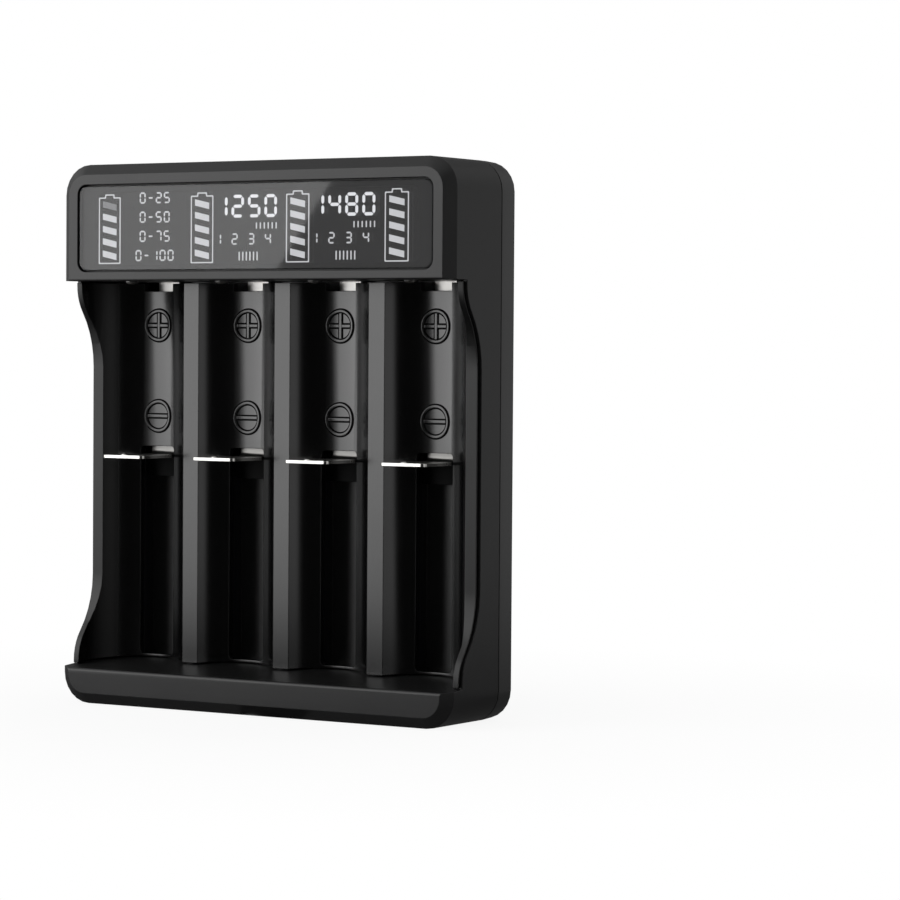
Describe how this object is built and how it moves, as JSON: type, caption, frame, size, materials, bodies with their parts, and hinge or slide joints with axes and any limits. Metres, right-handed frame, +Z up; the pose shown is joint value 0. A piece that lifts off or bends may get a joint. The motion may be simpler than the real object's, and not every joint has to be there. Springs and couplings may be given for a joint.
{
  "type": "battery charger",
  "caption": "Upright battery charger: half-round cell bays with sprung sliding contacts between a ledge and a dark display head, side walls swept back in an S.",
  "frame": {"origin": "middle of the foot, on the surface that the charger stands on, at the middle of its width and depth", "axes": "+X to the right as the display is read, +Y to the back, +Z up; the display and bays face -Y"},
  "size_m": [0.0914, 0.0228, 0.107],
  "materials": {
    "black_abs": "fine matt grain",
    "smoked_acrylic": "polished, smoked",
    "display_glass": "polished",
    "white_diffuser": "milky",
    "connector_rubber": "soft striped",
    "circuit_board": "lacquered laminate",
    "chip_resin": "moulded resin",
    "ferrite": "sintered",
    "brushed_can": "drawn can",
    "nickel": "bright nickel plate",
    "spring_steel": "drawn wire",
    "bright_steel": "zinc plated",
    "grey_acetal": "smooth moulded"
  },
  "bodies": {
    "housing": {"front_shell": "black_abs", "bay_tray": "black_abs", "rear_cover": "black_abs", "display_window": "smoked_acrylic", "lcd_panel": "display_glass", "backlight_panel": "white_diffuser", "lcd_connector": "connector_rubber", "main_board": "circuit_board", "usb_c_socket": "bright_steel", "charge_controller": "chip_resin", "power_inductor": "ferrite", "filter_capacitor_1": "brushed_can", "filter_capacitor_2": "brushed_can", "positive_contact_1": "nickel", "negative_terminal_1": "nickel", "return_spring_1": "spring_steel", "housing_screw_1": "bright_steel", "tray_screw_1": "bright_steel", "board_screw_1": "bright_steel", "positive_contact_2": "nickel", "negative_terminal_2": "nickel", "return_spring_2": "spring_steel", "housing_screw_2": "bright_steel", "tray_screw_2": "bright_steel", "board_screw_2": "bright_steel", "positive_contact_3": "nickel", "negative_terminal_3": "nickel", "return_spring_3": "spring_steel", "housing_screw_3": "bright_steel", "tray_screw_3": "bright_steel", "board_screw_3": "bright_steel", "positive_contact_4": "nickel", "negative_terminal_4": "nickel", "return_spring_4": "spring_steel", "housing_screw_4": "bright_steel", "tray_screw_4": "bright_steel", "board_screw_4": "bright_steel"},
    "slider_1": {"negative_contact_1": "nickel", "slider_carriage_1": "grey_acetal", "contact_rivet_1": "bright_steel"},
    "slider_2": {"negative_contact_2": "nickel", "slider_carriage_2": "grey_acetal", "contact_rivet_2": "bright_steel"},
    "slider_3": {"negative_contact_3": "nickel", "slider_carriage_3": "grey_acetal", "contact_rivet_3": "bright_steel"},
    "slider_4": {"negative_contact_4": "nickel", "slider_carriage_4": "grey_acetal", "contact_rivet_4": "bright_steel"}
  },
  "joints": [
    {"name": "slider_1_travel", "type": "slide", "parent": "housing", "child": "slider_1", "axis": [0, 0, -1], "range_m": [0, 0.036], "stiffness_N_per_m": 30, "springref_m": -0.02, "deforming": ["return_spring_1"]},
    {"name": "slider_2_travel", "type": "slide", "parent": "housing", "child": "slider_2", "axis": [0, 0, -1], "range_m": [0, 0.036], "stiffness_N_per_m": 30, "springref_m": -0.02, "deforming": ["return_spring_2"]},
    {"name": "slider_3_travel", "type": "slide", "parent": "housing", "child": "slider_3", "axis": [0, 0, -1], "range_m": [0, 0.036], "stiffness_N_per_m": 30, "springref_m": -0.02, "deforming": ["return_spring_3"]},
    {"name": "slider_4_travel", "type": "slide", "parent": "housing", "child": "slider_4", "axis": [0, 0, -1], "range_m": [0, 0.036], "stiffness_N_per_m": 30, "springref_m": -0.02, "deforming": ["return_spring_4"]}
  ]
}
